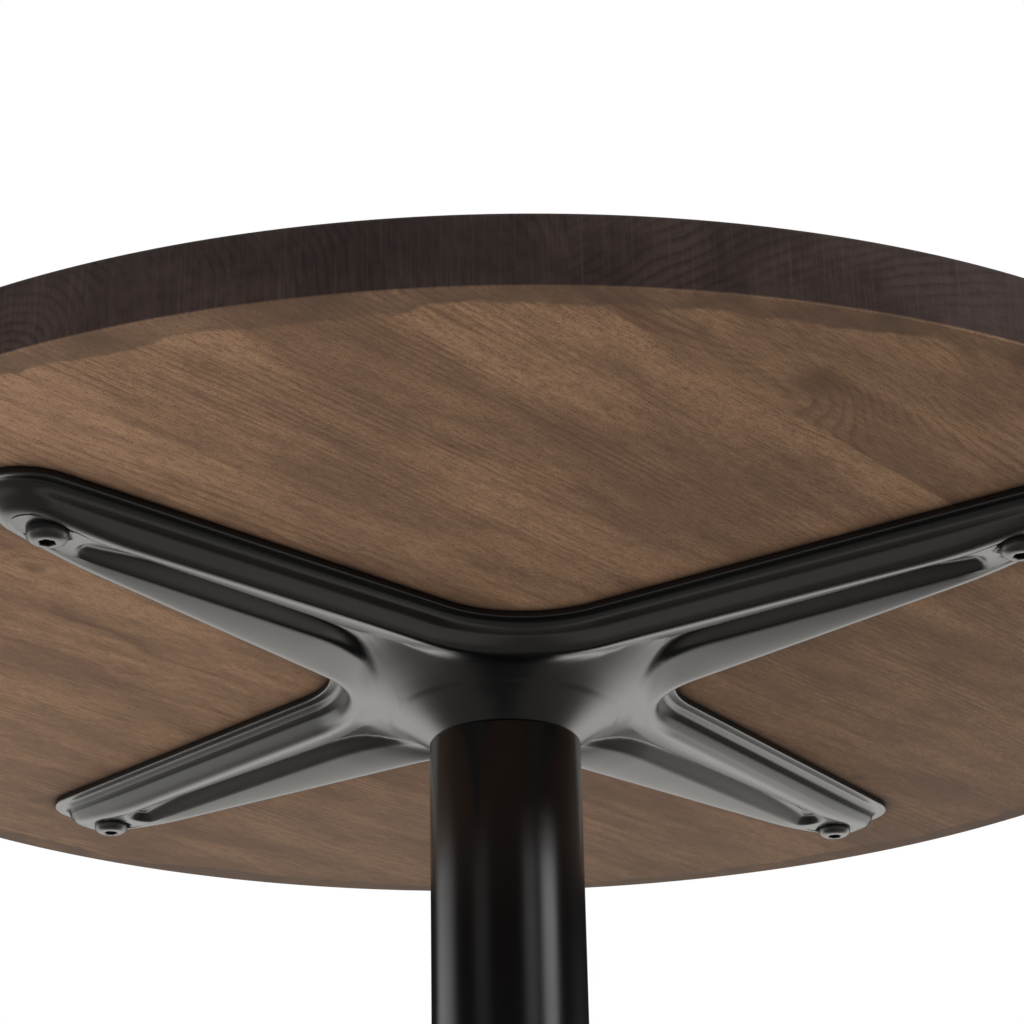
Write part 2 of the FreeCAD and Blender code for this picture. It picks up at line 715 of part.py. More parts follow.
for item in doc.Objects:
    if "Invalid" in item.State or "Error" in item.State:
        raise RuntimeError("failed: " + item.Name)
for item in sub_parts:
    if item.Shape.isNull() or not item.Shape.isValid():
        raise RuntimeError("bad shape: " + item.Label)

os.makedirs("parts", exist_ok=True)
for item in sub_parts:
    item.Shape.exportStep("parts/%s.step" % item.Label)
    print(item.Label, len(item.Shape.Solids), round(item.Shape.Volume))
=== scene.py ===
import bmesh
import bpy
import math
from mathutils import Matrix, Vector


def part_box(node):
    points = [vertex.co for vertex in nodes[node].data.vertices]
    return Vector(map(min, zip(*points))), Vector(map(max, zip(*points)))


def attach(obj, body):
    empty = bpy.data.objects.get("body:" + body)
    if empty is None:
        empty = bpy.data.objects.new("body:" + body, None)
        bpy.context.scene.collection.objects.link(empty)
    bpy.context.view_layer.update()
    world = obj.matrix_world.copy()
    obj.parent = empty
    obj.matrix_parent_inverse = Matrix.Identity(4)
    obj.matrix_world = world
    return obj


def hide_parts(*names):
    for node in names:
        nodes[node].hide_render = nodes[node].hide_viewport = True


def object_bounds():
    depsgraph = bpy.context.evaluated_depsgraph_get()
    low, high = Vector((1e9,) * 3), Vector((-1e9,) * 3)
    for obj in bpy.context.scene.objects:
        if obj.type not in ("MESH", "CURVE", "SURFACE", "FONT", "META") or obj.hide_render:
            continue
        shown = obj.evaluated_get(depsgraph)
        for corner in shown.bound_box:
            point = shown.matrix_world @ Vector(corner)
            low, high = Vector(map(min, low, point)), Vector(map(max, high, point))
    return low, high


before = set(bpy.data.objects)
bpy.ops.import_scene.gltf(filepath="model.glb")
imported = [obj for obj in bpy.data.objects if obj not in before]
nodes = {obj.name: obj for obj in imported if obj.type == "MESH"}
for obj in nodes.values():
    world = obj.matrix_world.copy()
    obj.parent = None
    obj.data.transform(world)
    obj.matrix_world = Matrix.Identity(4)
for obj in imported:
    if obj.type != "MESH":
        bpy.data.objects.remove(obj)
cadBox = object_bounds()
print("frame loaded,", len(nodes), "nodes")

mm = 0.001  # the dictionaries of the pieces are in millimetres
joinDistance = 0.002 * mm
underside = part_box("top_board_2")[0].z
turnedOver = Matrix.Rotation(math.pi, 4, "X")
hanging = Matrix.Translation((0, 0, underside)) @ turnedOver  # upside down under the top


# Shader nodes


class Value:  # a socket; sums and products on it add Math nodes
    def __init__(self, shop, socket):
        self.shop = shop
        self.socket = socket

    def __add__(self, other):
        return self.shop.maths("ADD", self, other)

    def __sub__(self, other):
        return self.shop.maths("SUBTRACT", self, other)

    def __mul__(self, other):
        return self.shop.maths("MULTIPLY", self, other)

    def __truediv__(self, other):
        return self.shop.maths("DIVIDE", self, other)

    def __rsub__(self, other):
        return self.shop.maths("SUBTRACT", other, self)

    __radd__ = __add__


class Shop:  # one node tree and the ways to add to it
    def __init__(self, tree):
        self.tree = tree
        tree.nodes.clear()

    def node(self, kind, settings=None, links=None, out=0):
        made = self.tree.nodes.new(kind)
        for name, value in (settings or {}).items():
            setattr(made, name, value)
        for name, value in (links or {}).items():
            if isinstance(value, Value):
                self.tree.links.new(value.socket, made.inputs[name])
            else:
                made.inputs[name].default_value = value
        return Value(self, made.outputs[out]) if made.outputs else made

    def maths(self, operation, *terms):
        return self.node("ShaderNodeMath", {"operation": operation}, dict(enumerate(terms)))

    def split(self, vector):
        parts = self.node("ShaderNodeSeparateXYZ", links={0: vector}).socket.node
        return [Value(self, socket) for socket in parts.outputs]

    def spot(self):
        return self.node("ShaderNodeTexCoord", out="Object")

    def noise(self, vector, scale, offset=(0, 0, 0), detail=2.0, roughness=0.5):
        placed = self.node("ShaderNodeVectorMath", {"operation": "MULTIPLY_ADD"},
                           {0: vector, 1: scale, 2: offset})
        return self.node("ShaderNodeTexNoise", links={"Vector": placed, "Scale": 1.0, "Detail": detail,
                                                      "Roughness": roughness})

    def ease(self, value, low, high):  # 0 below low, 1 above high
        return self.node("ShaderNodeMapRange", {"interpolation_type": "SMOOTHSTEP"},
                         {"Value": value, "From Min": low, "From Max": high})

    def length(self, *parts):
        total = parts[0] * parts[0]
        for part in parts[1:]:
            total = total + part * part
        return self.maths("SQRT", total)

    def blend(self, factor, first, second):
        return self.node("ShaderNodeMix", {"data_type": "RGBA"}, {0: factor, 6: first, 7: second}, out=2)


def colour(red, green, blue):  # 0 to 255 as a screen shows it
    def linear(part):
        share = part / 255
        return share / 12.92 if share <= 0.04045 else ((share + 0.055) / 1.055) ** 2.4
    return (linear(red), linear(green), linear(blue), 1.0)


def newFinish(name):
    material = bpy.data.materials.new(name)
    material.use_nodes = True
    return material, Shop(material.node_tree)


def closeFinish(shop, links):
    shader = shop.node("ShaderNodeBsdfPrincipled", links=links)
    shop.node("ShaderNodeOutputMaterial", links={"Surface": shader})


# Finishes

woodLook = {  # widths in mm
    "pale": colour(150, 119, 94), "brown": colour(114, 89, 71), "deep": colour(72, 55, 46),
    "edgeBand": colour(80, 65, 55), "stain": colour(58, 48, 45), "stainDark": colour(33, 26, 25),
    # The colour after worn and the width after it are for painted shade: the underside darkens along the
    # spider's edge, where the spider's contact shadow falls.
    "worn": colour(96, 82, 76), "paintedShade": colour(16, 12, 10), "paintedShadeWidth": 3,
    "bandWidth": 11, "bandBlur": 1.2, "bandRagged": 26, "ringGap": 2.9, "ringWander": 30, "ringRipple": 5,
    "knotLength": 1.5, "knotBulge": 0.9, "knotCore": 9, "rimWidth": (4, 1.5), "faceEdge": (0.4, 1.2),
    "gloss": 0.08, "rough": (0.2, 0.5), "bump": 0.12, "bumpHeight": 0.4, "ringBump": 0.4,
}
grain = {  # noises: scale per metre along, across and through a board, detail, roughness
    "wander": ((2.5, 9, 9), 2, 0.5), "ripple": ((14, 60, 60), 2, 0.5), "broken": ((9, 45, 45), 3, 0.5),
    "blotch": ((7, 26, 26), 4, 0.6), "streak": ((38, 210, 210), 3, 0.65),
    "fibre": ((170, 1300, 1300), 3, 0.65), "grit": ((1300, 1900, 1900), 2, 0.6),
    "ragged": ((20, 20, 20), 4, 0.6), "cloud": ((45, 45, 45), 3, 0.5),
    "sawn": ((420, 1, 30), 3, 0.6),  # per radian round the rim
}
contrast = {  # where a pattern starts to show and where it is full
    "ringStart": (0.3, 0.85), "ringEnd": (0.85, 1.0), "broken": (0.38, 0.68), "blotch": (0.36, 0.64),
    "streak": (0.4, 0.75), "fine": (0.4, 0.7), "band": (0.3, 0.7), "sawn": (0.45, 0.8),
    "darkCloud": (0.35, 0.65), "darkFibre": (0.4, 0.8),
}
strength = {  # how far a pattern colours the bare underside, or with dark in its name the stained rim
    # The strength given after knot is for the painted shade along the spider's edge.
    "blotch": 0.9, "streak": 0.35, "ring": 0.4, "fine": 0.4, "knot": 0.6, "paintedShade": 0.9, "band": (0.45, 0.4),
    "darkCloud": 0.45, "darkRing": (0.4, 0.1), "darkStreak": 0.4, "darkFibre": 0.3, "darkSawn": 0.16,
}
boardLook = {  # heart of the tree across the board and below its face, mm, and a shift of the noise
    "top_board_1": {"heart": (-390, -150), "shift": 3.1},
    "top_board_2": {"heart": (-66, -6), "shift": 7.7},
    "top_board_3": {"heart": (60, -90), "shift": 12.9},
    "top_board_4": {"heart": (330, -60), "shift": 21.3},
}
knots = [  # place on the underside and size, mm
    (-125, -228, 21), (-191, 48, 9), (201, -29, 10), (-21, 250, 9), (60, 275, 7),
]


def edgeGap(shop, x, y):  # how far a place on the underside is from the spider's edge
    sizes = [spider[name] * mm for name in ("tipReach", "tipRadius", "cornerPlace", "cornerRadius")]
    reach, tip, place, corner = sizes
    lean = crossLean(*sizes)
    along, aside = shop.maths("ABSOLUTE", x), shop.maths("ABSOLUTE", y)
    along, aside = shop.maths("MAXIMUM", along, aside), shop.maths("MINIMUM", along, aside)
    pastTip = shop.maths("GREATER_THAN", along, reach + tip * math.cos(lean))
    inCorner = shop.maths("LESS_THAN", along, place - corner * math.cos(lean))
    fromSide = (along - reach) * math.cos(lean) + aside * math.sin(lean) - tip
    fromTip = shop.length(along - reach, aside) - tip
    fromCorner = corner - shop.length(along - place, aside - place)
    gap = pastTip * fromTip + inCorner * fromCorner + (1 - pastTip - inCorner) * fromSide
    return shop.maths("MAXIMUM", gap, 0.0)


def woodFinish(node):
    look = boardLook[node]
    material, shop = newFinish("wood_" + node)
    spot = shop.spot()
    x, y, z = shop.split(spot)
    shift = (look["shift"], look["shift"], look["shift"])
    heartY, heartZ = look["heart"]

    def noise(name, vector=spot):
        scale, detail, roughness = grain[name]
        return shop.noise(vector, scale, shift, detail, roughness)

    def pattern(name, value):
        return shop.ease(value, *contrast[name])

    acrossY = y - heartY * mm + (noise("wander") - 0.5) * (woodLook["ringWander"] * mm)
    acrossZ = z - (underside + heartZ * mm)
    radius = shop.length(acrossY, acrossZ) + (noise("ripple") - 0.5) * (woodLook["ringRipple"] * mm)
    knotMask = None
    for knotX, knotY, size in knots:
        alongX = (x - knotX * mm) / (size * mm * woodLook["knotLength"])
        alongY = (y - knotY * mm) / (size * mm)
        away = alongX * alongX + alongY * alongY
        bulge = shop.maths("EXPONENT", away * -1.0)
        radius = radius + bulge * (size * mm * woodLook["knotBulge"])
        core = shop.maths("EXPONENT", away * -woodLook["knotCore"])
        knotMask = core if knotMask is None else knotMask + core
    phase = shop.maths("FRACT", radius / (woodLook["ringGap"] * mm))
    late = pattern("ringStart", phase) * (1 - pattern("ringEnd", phase))
    broken = pattern("broken", noise("broken"))
    blotch = pattern("blotch", noise("blotch"))
    streak = pattern("streak", noise("streak"))
    fibre = noise("fibre")

    bare = shop.blend(blotch * strength["blotch"], woodLook["pale"], woodLook["brown"])
    bare = shop.blend(streak * strength["streak"], bare, woodLook["deep"])
    bare = shop.blend(late * broken * strength["ring"], bare, woodLook["deep"])
    fine = pattern("fine", fibre) * strength["fine"] + pattern("fine", noise("grit")) * strength["fine"]
    bare = shop.blend(fine, bare, woodLook["deep"])
    bare = shop.blend(knotMask * strength["knot"], bare, woodLook["deep"])
    # Painted shade: the underside darkens towards the spider's edge, standing in for the contact shadow
    # there.
    paintedShade = shop.maths("EXPONENT", edgeGap(shop, x, y) / (woodLook["paintedShadeWidth"] * -mm))
    bare = shop.blend(paintedShade * strength["paintedShade"], bare, woodLook["paintedShade"])

    # The stain of the rim runs a little way in under the edge.
    rimRadius = cadBox[1].x
    fromAxis = shop.length(x, y)
    cloud = noise("cloud")
    bandEdge = fromAxis + (noise("ragged") - 0.5) * (woodLook["bandRagged"] * mm)
    inner = rimRadius - woodLook["bandWidth"] * mm
    blur = woodLook["bandBlur"] * mm
    band = shop.ease(bandEdge, inner - blur, inner + blur)
    varying, least = strength["band"]
    bare = shop.blend(band * (pattern("band", cloud) * varying + least), bare, woodLook["edgeBand"])

    turn = shop.maths("ARCTAN2", y, x)
    unrolled = shop.node("ShaderNodeCombineXYZ", links={0: turn, 2: z})
    sawn = pattern("sawn", noise("sawn", unrolled))
    rim = shop.ease(fromAxis, *[rimRadius - width * mm for width in woodLook["rimWidth"]])
    clouded = pattern("darkCloud", cloud) * strength["darkCloud"]
    dark = shop.blend(clouded, woodLook["stain"], woodLook["stainDark"])
    varying, least = strength["darkRing"]
    dark = shop.blend(late * (broken * varying + least), dark, woodLook["stainDark"])
    dark = shop.blend(streak * strength["darkStreak"], dark, woodLook["stainDark"])
    dark = shop.blend(pattern("darkFibre", fibre) * strength["darkFibre"], dark, woodLook["stainDark"])
    dark = shop.blend(sawn * rim * strength["darkSawn"], dark, woodLook["worn"])
    below = 1 - shop.ease(z, *[underside + height * mm for height in woodLook["faceEdge"]])
    face = shop.blend(below, dark, bare)
    height = fibre + late * woodLook["ringBump"]
    bump = shop.node("ShaderNodeBump", links={"Strength": woodLook["bump"], "Height": height,
                                              "Distance": woodLook["bumpHeight"] * mm})
    rougher, rough = woodLook["rough"]
    closeFinish(shop, {"Base Color": face, "Roughness": below * rougher + rough, "Normal": bump,
                       "Specular IOR Level": woodLook["gloss"]})
    return material


coatLook = {"speck": (900, 900, 900), "speckHeight": 0.2, "cloud": (30, 30, 30), "unevenness": 0.08}
metalLook = {"cloud": (140, 140, 140), "unevenness": 0.2, "metallic": 0.6}


def coatFinish(name, shade, rough, pitting, index):
    material, shop = newFinish(name)
    spot = shop.spot()
    speck = shop.noise(spot, coatLook["speck"])
    cloud = shop.noise(spot, coatLook["cloud"])
    bump = shop.node("ShaderNodeBump", links={"Strength": pitting, "Distance": coatLook["speckHeight"] * mm,
                                              "Height": speck})
    closeFinish(shop, {"Base Color": shade, "Roughness": rough + (cloud - 0.5) * coatLook["unevenness"],
                       "IOR": index, "Normal": bump})
    return material


def metalFinish(name, shade, rough):
    material, shop = newFinish(name)
    cloud = shop.noise(shop.spot(), metalLook["cloud"], detail=3)
    closeFinish(shop, {"Base Color": shade, "Metallic": metalLook["metallic"],
                       "Roughness": rough + (cloud - 0.5) * metalLook["unevenness"]})
    return material


blackSteel = coatFinish("black_steel", colour(8, 7, 7), 0.26, 0.05, 1.5)
blackTube = coatFinish("black_tube", colour(7, 6, 6), 0.24, 0.05, 1.55)
blackBolt = coatFinish("black_bolt", colour(12, 11, 11), 0.34, 0.03, 1.6)
blackNylon = coatFinish("black_nylon", colour(30, 29, 28), 0.5, 0.1, 1.45)
zincSteel = metalFinish("zinc_steel", colour(196, 196, 190), 0.35)
print("finishes made")


# Mesh helpers


def growRing(mesh, ring, spots):  # extrude a ring of vertices and move the new ring to its spots
    rank = {vert: place for place, vert in enumerate(ring)}
    edges = [mesh.edges.get((vert, ring[place - 1])) for place, vert in enumerate(ring)]
    made = bmesh.ops.extrude_edge_only(mesh, edges=edges)["geom"]
    fresh = [None] * len(ring)
    for vert in made:
        if isinstance(vert, bmesh.types.BMVert):
            neighbours = [edge.other_vert(vert) for edge in vert.link_edges]
            partner = next(other for other in neighbours if other in rank)
            fresh[rank[partner]] = vert
    for vert, spot in zip(fresh, spots):
        vert.co = spot
    return fresh


def skin(mesh, rings, join=False, caps=True):  # a surface through rings of spots with equal counts
    first = bmesh.ops.create_circle(mesh, segments=len(rings[0]), radius=mm)["verts"]
    for vert, spot in zip(first, rings[0]):
        vert.co = spot
    ring = first
    for spots in rings[1:]:
        ring = growRing(mesh, ring, spots)
    ends = []
    for end in (first, ring):
        ends.append([mesh.edges.get((vert, end[place - 1])) for place, vert in enumerate(end)])
    if join:
        bmesh.ops.bridge_loops(mesh, edges=ends[0] + ends[1])
    elif caps:
        for edges in ends:
            bmesh.ops.edgeloop_fill(mesh, edges=edges)


def roundShape(radius):
    return lambda angle: radius


def hexShape(across):
    sixth = math.pi / 3
    return lambda angle: across / 2 / math.cos(angle % sixth - sixth / 2)


def turned(stations, steps):  # rings of a lathe piece from (height, shape) stations
    rings = []
    for height, shape in stations:
        ring = []
        for step in range(steps):
            angle = 2 * math.pi * step / steps
            radius = shape(angle)
            ring.append(Vector((radius * math.cos(angle), radius * math.sin(angle), height)) * mm)
        rings.append(ring)
    return rings


def tidyMesh(mesh):
    bmesh.ops.remove_doubles(mesh, verts=mesh.verts[:], dist=joinDistance)
    bmesh.ops.dissolve_degenerate(mesh, edges=mesh.edges[:], dist=joinDistance)
    bmesh.ops.recalc_face_normals(mesh, faces=mesh.faces[:])


def makePiece(name, mesh, finish, crease=32):  # edges that turn more than crease degrees stay sharp
    for face in mesh.faces:
        face.smooth = True
    for edge in mesh.edges:
        edge.smooth = edge.calc_face_angle(math.pi) < math.radians(crease)
    data = bpy.data.meshes.new(name)
    mesh.to_mesh(data)
    mesh.free()
    data.materials.append(finish)
    piece = bpy.data.objects.new(name, data)
    bpy.context.scene.collection.objects.link(piece)
    return piece


# Pressed crosses

spider = {
    "tipReach": 233, "tipRadius": 18.5, "cornerPlace": 76, "cornerRadius": 41, "sheet": 2.5, "flange": 5.3,
    "wallRun": 2.8, "crest": 3.3, "depth": 13.5, "ridgeRound": 4.1, "cove": 2.8,
    "noseStart": 195, "noseDrop": 0.0045, "noseLean": 3,
    "dishDepth": 3.2, "dishRise": 0.031, "dishCurve": 1.15,
    "grooveHalf": 5.7, "floorHalf": 2.2, "grooveDepth": 6.3, "grooveCorner": 95, "grooveGap": 20,
    "grooveRamp": 125, "grooveFade": (48, 82), "rimRound": 3,
    "fixing": 224, "fixingLevel": 11, "fixingRadius": 7.6,
    "footRadius": 57, "footSlope": 0.5, "flareRadius": 96, "flareCurve": 110.5, "hubLine": 43,
    "seat": 27.7, "seatRadius": 27.7, "spigotRadius": 26.2, "spigotLength": 14, "rodHole": 5.5,
}
base = {
    "tipReach": 268, "tipRadius": 22, "cornerPlace": 106, "cornerRadius": 60, "sheet": 3, "flange": 5.5,
    "wallRun": 5, "crest": 5.4, "depth": 30, "ridgeRound": 6, "cove": 3.5,
    "noseStart": 225, "noseDrop": 0.0045, "noseLean": 4,
    "dishDepth": 6, "dishRise": 0, "dishCurve": 1.15,
    "grooveHalf": 8, "floorHalf": 3, "grooveDepth": 9, "grooveCorner": 100, "grooveGap": 19,
    "grooveRamp": 170, "grooveFade": (70, 120), "rimRound": 3.5,
    "fixing": 255, "fixingLevel": 24.5, "fixingRadius": 9,
    "footRadius": 100, "footSlope": 0.4, "flareRadius": 124, "flareCurve": 104, "hubLine": 52,
    "seat": 80, "seatRadius": 27.7, "spigotRadius": 26.2, "spigotLength": 14, "rodHole": 5.5,
}
pressing = {  # what both crosses have alike: mm, shares of other sizes, and the crease in degrees
    "edgeRound": 0.5, "bendShare": 0.25, "bendHeightShare": 0.45, "bendRound": 8, "nosePower": 1.75,
    "rimShare": 0.5, "floorShare": 0.6, "runOutShare": 0.85, "riseShare": 0.62, "riseRange": (-60, 90),
    "crestMargin": 0.8, "seatSlope": 3, "seatRound": 0.6, "footRound": 3.0, "hubStep": 0.2, "crease": 28,
}
crossSteps = {"tip": 18, "line": 24, "corner": 24, "round": 6, "dish": 22, "groove": 14, "crowd": 1.5}
hubShares = (1.8, 1.4, 1.15, 1.0, 0.92, 0.84, 0.76, 0.69, 0.63, 0.58)  # of the flare's radius
lineShares = (1.16, 1.11, 1.06, 1.03, 1.006, 0.994, 0.96, 0.91, 0.86, 0.8)  # of the hub line's radius


def crossLean(reach, tip, place, corner):  # which way an arm's tapered side faces, from the arm's axis
    between = Vector((place - reach, place))
    return math.atan2(between.y, between.x) - math.acos((tip + corner) / between.length)


def crossPath(reach, tip, place, corner):  # round tips and corner arcs joined by their tangent lines
    lean = crossLean(reach, tip, place, corner)
    quarter = []
    for step in range(crossSteps["tip"]):
        angle = lean * (2 * step / crossSteps["tip"] - 1)
        quarter.append(Vector((reach + tip * math.cos(angle), tip * math.sin(angle))))
    offTip = Vector((reach + tip * math.cos(lean), tip * math.sin(lean)))
    onCorner = Vector((place - corner * math.cos(lean), place - corner * math.sin(lean)))
    line = []
    for step in range(crossSteps["line"]):  # closer together towards the hub
        line.append(offTip.lerp(onCorner, 1 - (1 - step / crossSteps["line"]) ** crossSteps["crowd"]))
    quarter += line
    for step in range(crossSteps["corner"]):
        angle = lean + (math.pi / 2 - 2 * lean) * step / crossSteps["corner"]
        quarter.append(Vector((place - corner * math.cos(angle), place - corner * math.sin(angle))))
    quarter += [Vector((spot.y, spot.x)) for spot in [onCorner] + line[:0:-1]]
    path = []
    for arm in range(4):
        path += [Matrix.Rotation(math.pi / 2 * arm, 2) @ spot for spot in quarter]
    return path


def crossGap(spot, reach, tip, place, corner):  # how far a spot is outside such an outline
    spot = Vector((max(abs(spot.x), abs(spot.y)), min(abs(spot.x), abs(spot.y))))
    lean = crossLean(reach, tip, place, corner)
    outward = Vector((math.cos(lean), math.sin(lean)))
    tipCentre = Vector((reach, 0))
    cornerCentre = Vector((place, place))
    offTip = tipCentre + outward * tip
    along = cornerCentre - outward * corner - offTip
    share = (spot - offTip).dot(along) / along.length_squared
    if share < 0:
        return (spot - tipCentre).length - tip
    if share > 1:
        return corner - (spot - cornerCentre).length
    return (spot - offTip).dot(outward)


def softMin(first, second, width):
    near = max(width - abs(first - second), 0) / width
    return min(first, second) - near * near * width / 4


def softMax(first, second, width):
    return -softMin(-first, -second, width)


def roundedLine(corners):  # a section line from (inset, height, rounding) corners
    line = []
    for place, (inset, height, rounding) in enumerate(corners):
        spot = Vector((inset, height))
        if not rounding:
            line.append(spot)
            continue
        back = (Vector(corners[place - 1][:2]) - spot).normalized()
        ahead = (Vector(corners[place + 1][:2]) - spot).normalized()
        half = back.angle(ahead) / 2
        middle = spot + (back + ahead).normalized() * rounding / math.sin(half)
        start = spot + back * rounding / math.tan(half) - middle
        turn = start.angle_signed(spot + ahead * rounding / math.tan(half) - middle)
        for step in range(crossSteps["round"] + 1):
            line.append(middle + Matrix.Rotation(-turn * step / crossSteps["round"], 2) @ start)
    return line


def flareHeight(cross, radius):  # trumpet arc from the groove's floor to the column's seat
    start = Vector((cross["flareRadius"], cross["depth"] - cross["dishDepth"] - cross["grooveDepth"]))
    end = Vector((cross["seatRadius"], cross["seat"]))
    half = (end - start) / 2
    side = Vector((half.y, -half.x)).normalized()
    centre = start + half + side * math.sqrt(cross["flareCurve"] ** 2 - half.length_squared)
    step = pressing["hubStep"] if radius < cross["hubLine"] else 0  # faint line that the hub's die leaves
    foot = min(radius, cross["footRadius"])  # past it the flare runs straight down into the groove
    height = centre.y - math.sqrt(cross["flareCurve"] ** 2 - (foot - centre.x) ** 2) + step
    return height - (radius - foot) * cross["footSlope"]


def dishOutline(cross):
    inset = cross["flange"] + cross["wallRun"] + cross["crest"]
    return (cross["tipReach"] - cross["noseLean"], cross["tipRadius"] - inset, cross["cornerPlace"],
            cross["cornerRadius"] + inset)


def noseDrop(cross, spot):  # how much lower the ridge gets towards an arm's tip
    past = max(abs(spot.x), abs(spot.y)) - cross["noseStart"]
    return cross["noseDrop"] * max(0, past) ** pressing["nosePower"]


def grooveOutline(cross, offset=0):
    half = cross["grooveHalf"] + offset
    return cross["fixing"] - cross["grooveGap"], half, cross["grooveCorner"], cross["grooveCorner"] - half


def clamped(value, low=0, high=1):
    return max(low, min(high, value))


def crossSpot(cross, spot):  # height of dish, groove, fixing's seat and hub at a place inside the ridge
    crest = cross["depth"] - noseDrop(cross, spot)
    rim = cross["depth"] - cross["dishDepth"]
    start = cross["grooveRamp"]
    outward = clamped((spot.length - start) / (cross["fixing"] - cross["grooveGap"] - start))
    low, high = cross["grooveFade"]
    fade = clamped((spot.length - low) / (high - low))
    fade = fade * fade * (3 - 2 * fade)
    depth = cross["grooveDepth"] * (1 - pressing["runOutShare"] * outward * outward) * fade
    floor = rim - depth  # runs out towards the fixing and the hub
    rise = clamped(spot.length - pressing["riseShare"] * cross["tipReach"], *pressing["riseRange"])
    rim = min(rim + cross["dishRise"] * rise, crest - pressing["crestMargin"])
    offset = crossGap(spot, *grooveOutline(cross))
    width = max(offset - crossGap(spot, *dishOutline(cross)), 1)
    climb = 1 - (1 - clamped(offset / width)) ** cross["dishCurve"]  # steeper by the groove
    dish = rim + min(offset, 0) + (crest - rim) * climb
    wall = rim + offset * cross["grooveDepth"] / (cross["grooveHalf"] - cross["floorHalf"])
    height = softMax(softMin(dish, wall, cross["rimRound"]), floor, cross["rimRound"])
    along, aside = max(abs(spot.x), abs(spot.y)), min(abs(spot.x), abs(spot.y))
    past = max(0, Vector((along - cross["fixing"], aside)).length - cross["fixingRadius"])
    height = softMin(height, cross["fixingLevel"] + pressing["seatSlope"] * past, pressing["seatRound"])
    return Vector((spot.x, spot.y, softMax(height, flareHeight(cross, spot.length), pressing["footRound"])))


def crossRings(cross):
    wallTop = cross["flange"] + cross["wallRun"]
    bendInset = cross["flange"] + pressing["bendShare"] * cross["wallRun"]
    bendHeight = cross["sheet"] + pressing["bendHeightShare"] * (cross["depth"] - cross["sheet"])
    section = roundedLine([
        (0, 0, 0), (0, cross["sheet"], pressing["edgeRound"]),
        (cross["flange"], cross["sheet"], cross["cove"]), (bendInset, bendHeight, pressing["bendRound"]),
        (wallTop, cross["depth"], cross["ridgeRound"]), (wallTop + cross["crest"], cross["depth"], 0)])
    rings = []
    for inset, height in section[:-1]:
        share = max(0, height - cross["sheet"]) / (cross["depth"] - cross["sheet"])
        path = crossPath(cross["tipReach"] - cross["noseLean"] * share, cross["tipRadius"] - inset,
                         cross["cornerPlace"], cross["cornerRadius"] + inset)
        ring = []
        for spot in path:
            ring.append(Vector((spot.x, spot.y, height - noseDrop(cross, spot) * share * share)))
        rings.append(ring)
    outer = pressing["rimShare"] * cross["rimRound"]
    dishEdge = crossPath(*dishOutline(cross))
    nearRim = crossPath(*grooveOutline(cross, outer))
    for step in range(crossSteps["dish"]):
        share = step / crossSteps["dish"]
        rings.append([crossSpot(cross, one.lerp(other, share)) for one, other in zip(dishEdge, nearRim)])
    deepest = cross["floorHalf"] - cross["grooveHalf"] - pressing["floorShare"] * cross["rimRound"]
    for step in range(crossSteps["groove"] + 1):
        path = crossPath(*grooveOutline(cross, outer + (deepest - outer) * step / crossSteps["groove"]))
        rings.append([crossSpot(cross, spot) for spot in path])
    radii = [cross["flareRadius"] * share for share in hubShares]
    radii += [cross["hubLine"] * share for share in lineShares]
    steps = crossSteps["round"]
    reached = radii[-1]
    radii += [reached + (cross["seatRadius"] - reached) * step / steps for step in range(1, steps + 1)]
    for radius in radii:
        rings.append([crossSpot(cross, spot.normalized() * min(spot.length, radius)) for spot in path])
    seat = cross["seat"]
    cup = seat + cross["spigotLength"]
    spigot = cross["spigotRadius"]
    for radius, height in ((spigot, seat), (spigot, cup), (cross["rodHole"], cup)):
        ring = []
        for spot in path:
            out = spot.normalized() * radius
            ring.append(Vector((out.x, out.y, height)))
        rings.append(ring)
    return [[spot * mm for spot in ring] for ring in rings]


def makeCross(name, cross, matrix, node):
    mesh = bmesh.new()
    skin(mesh, crossRings(cross), caps=False)
    tidyMesh(mesh)
    bmesh.ops.transform(mesh, matrix=matrix, verts=mesh.verts[:])
    piece = makePiece(name, mesh, blackSteel, pressing["crease"])
    shell = piece.modifiers.new("sheet", "SOLIDIFY")
    shell.thickness = cross["sheet"] * mm
    shell.offset = -1
    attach(piece, "table")
    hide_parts(node)


makeCross("topSpider", spider, hanging, "top_spider")
makeCross("baseCross", base, Matrix.Translation((0, 0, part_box("base_cross")[0].z)), "base_cross")
print("pressed crosses made")


# Wooden top

board = {"rimSteps": 360, "upperRound": 1.5, "upperSteps": 4, "lowerRound": 0.8, "lowerSteps": 2}


